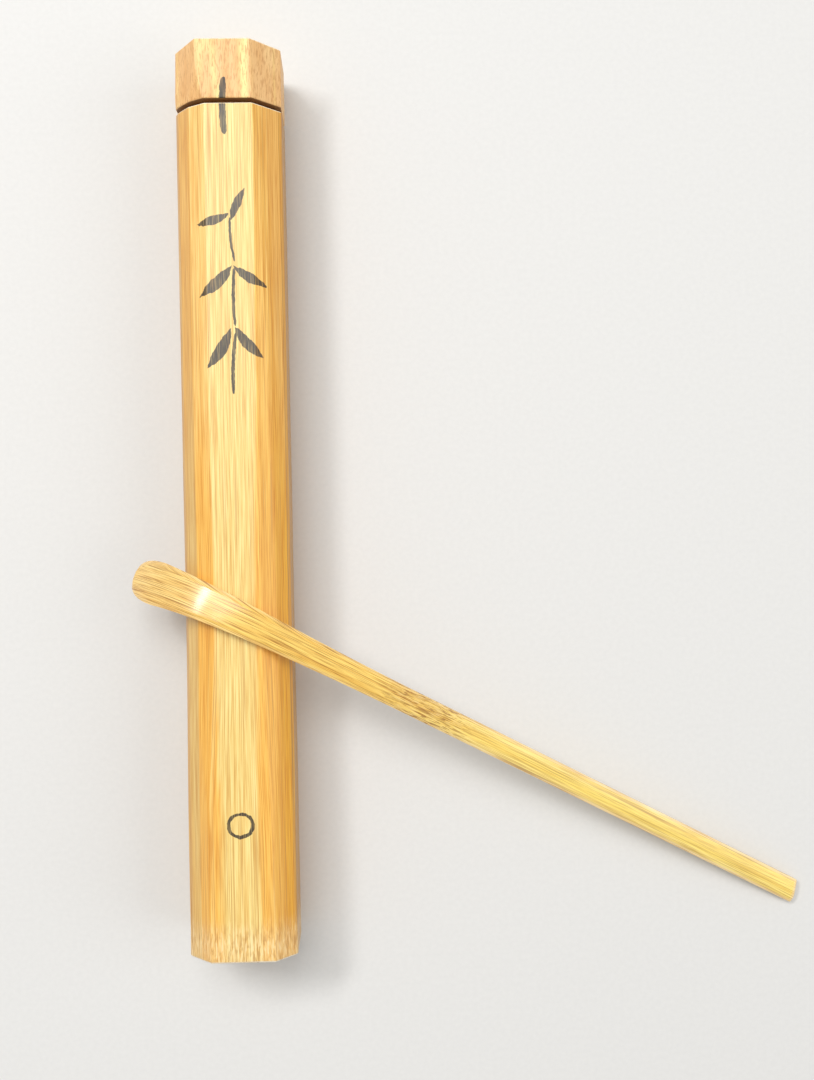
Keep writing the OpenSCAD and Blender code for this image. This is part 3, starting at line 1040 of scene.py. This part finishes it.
@dataclass
class TeaScoop:
    """The scoop: a flat bevelled bar of bamboo, thinned, widened and bent over at its tip."""

    length: float = 180.0
    handle_w: float = 5.5
    handle_t: float = 2.4
    tip_w: float = 9.8
    tip_t: float = 1.5
    bend_l: float = 40.0
    bend_angle: float = 56.0
    flare_l: float = 76.5
    full_l: float = 9.2
    round_l: float = 9.5
    node_at: float = 103.0
    node_rise: float = 0.15
    side_bevel: float = 1.1
    over_tip: float = 34.8
    rest_turn: float = 28.6
    rest_height: float = 24.15
    flat_half: float = 5.13
    tip_lean: float = 12.6
    tip_twist: float = 9.0
    end_bevel: float = 0.55
    worn_corner: float = 1.0
    end_skew: float = 0.75
    swell_l: float = 3.0
    tip_edge: float = 0.8
    flare_power: float = 2.1
    round_power: float = 2.6
    crown: float = 0.10
    face_columns: int = 20

    def stations(self) -> np.ndarray:
        """Places the rings, close together at both ends.

        Returns:
            Distances from the handle's end.
        """
        first = self.end_bevel * np.array([0.0, 0.12, 0.3, 0.55, 0.8, 1.0])
        last = self.length - self.tip_edge * (1 - np.sin(np.linspace(0, np.pi / 2, 9)[1:]))
        body = np.concatenate([np.linspace(0.6, 3.0, 10), np.linspace(4.0, self.length - 12, 190),
                               np.linspace(self.length - 11.7, self.length - 0.9, 36)])
        return np.concatenate([first, body, last[:-1], [self.length - 0.004]])

    def half_thickness(self, s: np.ndarray) -> np.ndarray:
        """Half the thickness: the handle's, thinned from the node to the bend, with a swell.

        Args:
            s: Distances from the handle's end.

        Returns:
            Half thicknesses, rounded off at the tip and bevelled at the handle's end.
        """
        thin = ease((s - self.node_at) / (self.length - self.bend_l - self.node_at))
        swell = self.node_rise * np.exp(-((s - self.node_at) / self.swell_l) ** 2)
        at_tip = np.clip((s - self.length + self.tip_edge) / self.tip_edge, 0, 1)
        at_end = np.clip(1 - s / self.end_bevel, 0, 1)
        full = (self.handle_t + (self.tip_t - self.handle_t) * thin) / 2 + swell
        return full * np.sqrt(1 - at_tip ** 2 * NEARLY_ONE) - self.end_bevel * at_end ** 2

    def half_widths(self, s: np.ndarray) -> tuple[np.ndarray, np.ndarray]:
        """Half the width on each side: the handle's, the flare to the tip, and its rounded end.

        The rounded end is a circle with its power raised from 2 to 2.6, which makes it blunter.
        The handle's end is worn round at one corner, a quarter of a circle.

        Args:
            s: Distances from the handle's end.

        Returns:
            Half widths of the crisp side and of the worn side.
        """
        spread = np.clip((s - self.length + self.flare_l) / (self.flare_l - self.full_l), 0, 1)
        flare = spread ** self.flare_power
        turn = np.clip((s - self.length + self.round_l) / self.round_l, 0, 1)
        full = (self.handle_w + (self.tip_w - self.handle_w) * flare) / 2
        full = full * np.maximum(1 - turn ** self.round_power, 0) ** (1 / self.round_power)
        at_end = np.clip(1 - s / self.end_bevel, 0, 1)
        worn = np.clip(1 - s / self.worn_corner, 0, 1)
        near = full - self.end_bevel * at_end ** 2
        return near, near - self.worn_corner * (1 - np.sqrt(1 - worn ** 2 * NEARLY_ONE)) * 0.7

    def bent(self, s: np.ndarray) -> np.ndarray:
        """Angle in radians that the scoop has bent through at each station."""
        return np.radians(self.bend_angle) * ease((s - self.length + self.bend_l) / self.bend_l)

    def tipped(self, s: np.ndarray) -> np.ndarray:
        """Angle in radians that the scoop leans sideways at each station."""
        return np.radians(self.tip_lean) * ease((s - self.length + self.flare_l) / self.flare_l)

    def slope(self) -> float:
        """Slope of the shaft that just clears the case all the way over its upper flat.

        At nine places over the flat, the height the middle line has to reach is the case's, plus
        how far the bend and the lean have brought the lower edge down there; the sine of the
        slope is that height over the distance from the handle's end.

        Returns:
            The largest slope of the nine, in radians.
        """
        over_flat = 2 * self.flat_half / np.cos(np.radians(self.rest_turn))
        places = self.length - self.over_tip + over_flat * np.linspace(0, 1, 9)
        fine = np.linspace(0.0, self.length, 4000)
        fallen = np.interp(places, fine, (np.sin(self.bent(fine)) * fine[1]).cumsum())
        edge = self.half_widths(places)[0] * np.sin(self.tipped(places))
        rise = self.rest_height + fallen + edge + self.half_thickness(places) - self.handle_t / 2
        return float(np.arcsin((rise / places).max()))

    def directions(self, s: np.ndarray) -> tuple[np.ndarray, np.ndarray, np.ndarray]:
        """Directions along the scoop, across it and out of its upper face at each station.

        The shaft rises in a straight line; the bend turns it down about the across direction,
        eased over the bent length; lean tips the bend sideways, and twist turns it back a little.

        Args:
            s: Distances from the handle's end.

        Returns:
            Three arrays of unit vectors.
        """
        turn, lean = np.radians(self.rest_turn), np.radians(self.tip_lean)
        slope = self.slope()
        shaft = np.array([-np.cos(turn) * np.cos(slope), np.sin(turn) * np.cos(slope), np.sin(slope)])
        across = np.array([np.sin(turn), np.cos(turn), 0.0])
        upper = np.cross(across, shaft)
        down = -(upper * np.cos(lean) + across * np.sin(lean))
        angle, tip = self.bent(s), self.tipped(s)
        along = shaft * np.cos(angle)[:, None] + down * np.sin(angle)[:, None]
        level = across * np.cos(tip)[:, None] - upper * np.sin(tip)[:, None]
        level = level - along * (level * along).sum(-1, keepdims=True)
        level /= np.linalg.norm(level, axis=-1, keepdims=True)
        twist = angle * self.tip_twist / self.bend_angle
        side = level * np.cos(twist)[:, None] + np.cross(level, along) * np.sin(twist)[:, None]
        return along, side, np.cross(side, along)

    def middle_line(self, s: np.ndarray) -> np.ndarray:
        """Sums the direction along the scoop from the handle's end, in steps of a twentieth.

        Args:
            s: Distances from the handle's end.

        Returns:
            Points of the middle line, from the handle's end.
        """
        fine = np.linspace(0.0, self.length, int(self.length * 20))
        along = self.directions(fine)[0]
        steps = (along[1:] + along[:-1]) / 2 * np.diff(fine)[:, None]
        line = np.concatenate([np.zeros((1, 3)), steps.cumsum(0)])
        return np.stack([np.interp(s, fine, line[:, k]) for k in range(3)], -1)

    def outline(self) -> tuple[np.ndarray, np.ndarray, np.ndarray]:
        """Unit outline of the section: a bar with four bevels, walked once round.

        Returns:
            For each column its side, -1 or 1 at the edges of the faces, how far it is out on the
            bevel from 0 to 1, and its height from -1 to 1.
        """
        across, out, high = [], [], []
        face, rim, edge = 2 * crowded(self.face_columns) - 1, crowded(5), crowded(4)
        for side, up in ((1, 1), (-1, -1)):
            across += list(-face * side), [side * -1.0] * 5, [side * -1.0] * 4, [side * -1.0] * 5
            out += [0.0] * len(face), list(rim), [1.0] * 4, list(1 - rim)
            high += [up * 1.0] * len(face), list(up * (1 - 0.5 * rim)), list(up * (0.5 - edge)), \
                list(up * (-0.5 - 0.5 * rim))
        return tuple(np.concatenate([np.asarray(part, float) for part in parts])
                     for parts in (across, out, high))

    def skin(self, lowest: np.ndarray, highest: np.ndarray) -> Skin:
        """Works out the whole surface of the scoop.

        The tip fills its box's low X and high Y, and the handle's end rests at its low Z.

        Args:
            lowest: Lowest corner of the box that the scoop has to lie in.
            highest: Highest corner of that box.

        Returns:
            The surface, ready to build.
        """
        s = self.stations()
        across, out, high = self.outline()
        near, far = self.half_widths(s)
        thick = self.half_thickness(s)
        along, side, upper = self.directions(s)
        half = np.where(across[None] > 0, far[:, None], near[:, None])
        bevel = np.minimum(self.side_bevel, half * 0.45)
        place = across[None] * (half - bevel) + np.sign(across)[None] * out[None] * bevel
        crown = self.crown * (np.minimum(np.abs(across), 1.0) ** 2 * (1 - out) * np.sign(high))[None]
        height = high[None] * thick[:, None] - crown * np.minimum(thick, 1.0)[:, None]
        skew = self.end_skew * (0.5 + 0.5 * across * (1 + out * 0.2))[None] * ease(1 - s / 9.0)[:, None]
        line = self.middle_line(s)
        rings = (line[:, None] + place[..., None] * side[:, None] + height[..., None] * upper[:, None]
                 + skew[..., None] * along[:, None])
        poles = np.stack([rings[0].mean(0), rings[-1].mean(0)])
        points = rings.reshape(-1, 3)
        shift = np.array([lowest[0], highest[1], lowest[2]]) \
            - np.array([points[:, 0].min(), points[:, 1].max(), points[:, 2].min()])
        closed = np.concatenate([np.stack([place, height]), np.stack([place, height])[..., :1]], -1)
        girth = np.hypot(*np.diff(closed, axis=-1)).cumsum(-1)
        girth = np.concatenate([np.zeros((len(s), 1)), girth], -1) - girth[:, [self.face_columns // 2 - 1]]
        flat = np.stack([girth, s[:, None] + 0 * girth], -1)
        band = np.zeros(len(s) + 1)
        band[[0, 1]] = 1
        return Skin(rings + shift, poles + shift, flat, self.paint(s, across, out, high), band)

    def paint(self, s: np.ndarray, across: np.ndarray, out: np.ndarray, high: np.ndarray) -> np.ndarray:
        """Colours the scoop: browner towards the tip, golden at the handle, pale along its edges.

        Args:
            s: Distances from the handle's end.
            across: Side of each column, -1 to 1.
            out: How far each column is out on its bevel, 0 to 1.
            high: Height of each column in the section.

        Returns:
            Linear colours, stations by columns.
        """
        s2, a2 = s[:, None] + 0 * across[None], across[None] + 0 * s[:, None]
        tone = mixed(linear("#FFE67A"), linear("#FBD974"), ease((s2 - 55) / 75))
        tone = mixed(tone, linear("#F6D68A"), ease((s2 - 150) / 18) * 0.9)
        stripe = ease((flame(a2 * 2.2 + 5, s2 / 60, 31) - 0.1) / 0.4)
        tone = mixed(tone, linear("#FFE898"), 0.5 * stripe * ease((120 - s2) / 40))
        joint = np.exp(-((s2 - self.node_at - 2) / 9.0) ** 2)
        tone = mixed(tone, linear("#D9A252"), 0.25 * joint * ease((a2 + 0.9) / 1.0))
        pale = ease((out - 0.3) / 0.4)[None] * (0.8 - 0.45 * ease((s2 - 60) / 60))
        tone = mixed(tone, linear("#FBE0B0"), np.maximum(pale, 0.7 * ease((1.1 - s2) / 0.3)))
        return mixed(tone, linear("#DDB680"), 0.5 * (high < -0.5)[None] * (out == 0)[None])


# ---------------------------------------------------------------- the studio

@dataclass(frozen=True)
class Softbox:
    """A soft light: the direction it stands in from the object, its distance, size and power."""

    name: str
    towards: tuple[float, float, float]
    distance: float
    width: float
    height: float
    power: float
    colour: str = "#FFFFFF"

    def place(self, centre: Vector) -> None:
        """Hangs the light so that it faces the object.

        Args:
            centre: Point that it faces.
        """
        data = bpy.data.lights.new(self.name, "AREA")
        data.shape, data.size, data.size_y, data.energy = "RECTANGLE", self.width, self.height, self.power
        data.color = linear(self.colour)[:3]
        lamp = bpy.data.objects.new(self.name, data)
        away = Vector(self.towards).normalized()
        lamp.location = centre + away * self.distance
        lamp.rotation_euler = (-away).to_track_quat("-Z", "Y").to_euler()
        bpy.context.scene.collection.objects.link(lamp)


@dataclass(frozen=True)
class Studio:
    """Plain pale floor, soft light from the stopper's end, and the camera that looks down."""

    view_offset_mm: tuple[float, float, float] = (31.5, -10.6, 277.1)
    view_tilt_deg: tuple[float, float, float] = (0.251, -1.476, -1.187)
    lens_mm: float = 38.33
    sensor_mm: float = 36.0
    floor_half: float = 4.0
    floor_gap: float = 0.00002
    sky: str = "#F5F5F5"
    sky_strength: float = 0.46
    lights: tuple[Softbox, ...] = (
        Softbox("key_light", (-0.09, 0.41, 0.91), 1.7, 0.9, 0.9, 12.4),
        Softbox("bend_light", (-0.425, 0.375, 0.785), 0.9, 0.31, 0.11, 3.2),
        Softbox("fill_light", (0.80, -0.10, 0.60), 1.7, 1.2, 1.2, 7.0),
    )

    def build(self, centre: Vector, floor_z: float) -> None:
        """Sets up the floor, the lights, the sky and the camera.

        Args:
            centre: Middle of the case's underside.
            floor_z: Height of the surface that the object lies on.
        """
        corners = np.array([(-1, -1), (1, -1), (1, 1), (-1, 1)], float) * self.floor_half
        mesh = bpy.data.meshes.new("studio_floor")
        level = floor_z - self.floor_gap
        mesh.from_pydata([(x, y, level) for x, y in corners.tolist()], [], [(0, 1, 2, 3)])
        mesh.materials.append(MattSheet().build())
        floor = bpy.data.objects.new("studio_floor", mesh)
        bpy.context.scene.collection.objects.link(floor)
        for light in self.lights:
            light.place(centre)
        world = bpy.data.worlds.new("studio_sky")
        world.use_nodes = True
        sky = next(n for n in world.node_tree.nodes if n.type == "BACKGROUND")
        sky.inputs["Color"].default_value = tuple(linear(self.sky))
        sky.inputs["Strength"].default_value = self.sky_strength
        bpy.context.scene.world = world
        data = bpy.data.cameras.new("view_camera")
        data.lens, data.sensor_width = self.lens_mm, self.sensor_mm
        data.clip_start, data.clip_end = 0.01, 20.0
        camera = bpy.data.objects.new("view_camera", data)
        camera.location = centre + Vector(self.view_offset_mm) * MM
        camera.rotation_euler = Euler(np.radians(self.view_tilt_deg), "XYZ")
        bpy.context.scene.collection.objects.link(camera)
        bpy.context.scene.camera = camera
        bpy.context.scene.view_settings.view_transform = "Standard"


# ---------------------------------------------------------------- everything together

JOINT_STROKE = InkMark(Brush.STROKE, -0.6, 86.6, 90.0, 6.4, 0.75, 0.35)
SPRIG = (
    InkMark(Brush.STROKE, 0.7, 30.0, 87.0, 7.0, 0.40, 0.4),
    InkMark(Brush.STROKE, 1.0, 44.6, 90.0, 6.5, 0.37, 0.3),
    InkMark(Brush.STROKE, 0.7, 57.2, 95.0, 5.0, 0.30, 0.3),
    InkMark(Brush.LEAF, -1.9, 33.0, 238.0, 5.2, 1.35, 0.5),
    InkMark(Brush.LEAF, 3.9, 34.2, -48.0, 4.7, 1.20, -0.5),
    InkMark(Brush.LEAF, -2.5, 47.7, 222.0, 5.1, 1.35, 0.55),
    InkMark(Brush.LEAF, 4.5, 48.8, -32.0, 4.4, 1.10, -0.5),
    InkMark(Brush.LEAF, 2.1, 65.0, 66.0, 4.0, 1.00, 0.3),
    InkMark(Brush.LEAF, -3.1, 61.4, 196.0, 3.9, 1.05, 0.45),
)
PLAIN_RING = InkMark(Brush.RING, 0.3, -71.5, 0.0, 3.1, 2.9)


@dataclass
class TeaScoopSet:
    """The whole object: tube, stopper and scoop, each on its own body.

    low and high are the corners of the case with its stopper, and tube_high_y is the tube's rim,
    in metres. joint_gap is the open joint between the rim and the stopper's head.
    """

    low: Vector
    high: Vector
    tube_high_y: float
    joint_gap: float = 1.0
    crease: float = 32.0

    def case_planing(self) -> CasePlaning:
        """Works out the planing that fits the case's own box.

        Returns:
            The planing, in millimetres.
        """
        return CasePlaning(half=(self.high.x - self.low.x) / 2 / MM,
                           case_l=(self.high.y - self.low.y) / MM,
                           joint_at=(self.tube_high_y - self.low.y) / MM)

    def tube(self) -> bpy.types.Object:
        """Builds and dresses the tube.

        Returns:
            The finished piece.
        """
        planing = self.case_planing()
        finishes = [
            PlanedBamboo("planed_bamboo_case", 0.42, 0.10, 0.18, 16.0, -11.0, 11.0, contrast=0.8,
                         far_contrast=0.8, node_strength=0.5,
                         ink=BrushInk((JOINT_STROKE, *SPRIG, PLAIN_RING))),
            PlainWood("sawn_bamboo_end", "#A87842", (0.4, 40.0, 0.4), 0.55, 0.66, 0.6, 0.6),
            PlainWood("bamboo_node_wall", "#B58A56", (1.4, 40.0, 1.4), 0.45, 0.7, 0.5, 0.75),
            PlainWood("raw_bamboo_bore", "#B98E56", (0.5, 30.0, 0.5), 0.48, 0.66, 0.5, 0.7),
        ]
        tube = BambooTube(planing, planing.joint_at)
        skin = tube.skin(self.low.y / MM, planing.half)
        piece = skin.build("bamboo_tube_planed", [f.build() for f in finishes], self.crease)
        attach(piece, "tube")
        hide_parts("tube")
        return piece

    def stopper(self) -> bpy.types.Object:
        """Builds and dresses the stopper.

        Returns:
            The finished piece.
        """
        planing = self.case_planing()
        finishes = [
            PlainWood("planed_cedar", "#BE8449", (0.30, 2.0, 0.30), 0.50, 0.62, 0.62, 0.5,
                      ink=BrushInk((JOINT_STROKE,))),
            PlainWood("cut_cedar_end", "#B07A48", (0.4, 3.0, 0.4), 0.48, 0.7, 0.5, 0.65),
        ]
        stopper = CedarStopper(planing, planing.joint_at, planing.joint_at + self.joint_gap)
        skin = stopper.skin(self.low.y / MM, planing.half)
        piece = skin.build("cedar_stopper_planed", [f.build() for f in finishes], self.crease)
        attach(piece, "stopper")
        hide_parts("stopper")
        return piece

    def scoop(self) -> bpy.types.Object:
        """Builds and dresses the scoop.

        Returns:
            The finished piece.
        """
        finishes = [
            PlanedBamboo("carved_bamboo_scoop", 0.34, 0.6, 0.17, 12.0, 88.0, 118.0,
                         line_colour="#AD8A58", dark_colour="#A06C2A", node_colour="#8A5220",
                         contrast=0.6, far_contrast=0.95, node_strength=0.7, sliver_strength=0.25),
            PlainWood("cut_scoop_end", "#A9743C", (0.4, 0.4, 0.4), 0.52, 0.66, 0.6, 0.55),
        ]
        low, high = (np.array(corner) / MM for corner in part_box("tea_scoop"))
        skin = TeaScoop().skin(low, high)
        piece = skin.build("bamboo_scoop_carved", [f.build() for f in finishes], self.crease)
        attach(piece, "tea_scoop")
        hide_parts("tea_scoop")
        return piece


def report(piece: bpy.types.Object) -> None:
    """Works out the loop triangles of a finished piece."""
    piece.data.calc_loop_triangles()


def main() -> None:
    """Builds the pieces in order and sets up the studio."""
    logging.basicConfig(level=logging.INFO, format="%(name)s: %(message)s")
    tube_low, tube_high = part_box("tube")
    case_high_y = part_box("stopper")[1].y
    LOG.info("case is %.1f mm across and %.1f mm long", (tube_high.x - tube_low.x) / MM,
             (case_high_y - tube_low.y) / MM)
    whole = TeaScoopSet(tube_low, Vector((tube_high.x, case_high_y, tube_high.z)), tube_high.y)
    for piece in (whole.tube(), whole.stopper(), whole.scoop()):
        report(piece)
    middle = Vector(((tube_low.x + tube_high.x) / 2, (tube_low.y + case_high_y) / 2, tube_low.z))
    Studio().build(middle, CAD_BOX[0].z)


if __name__ == "__main__":
    main()
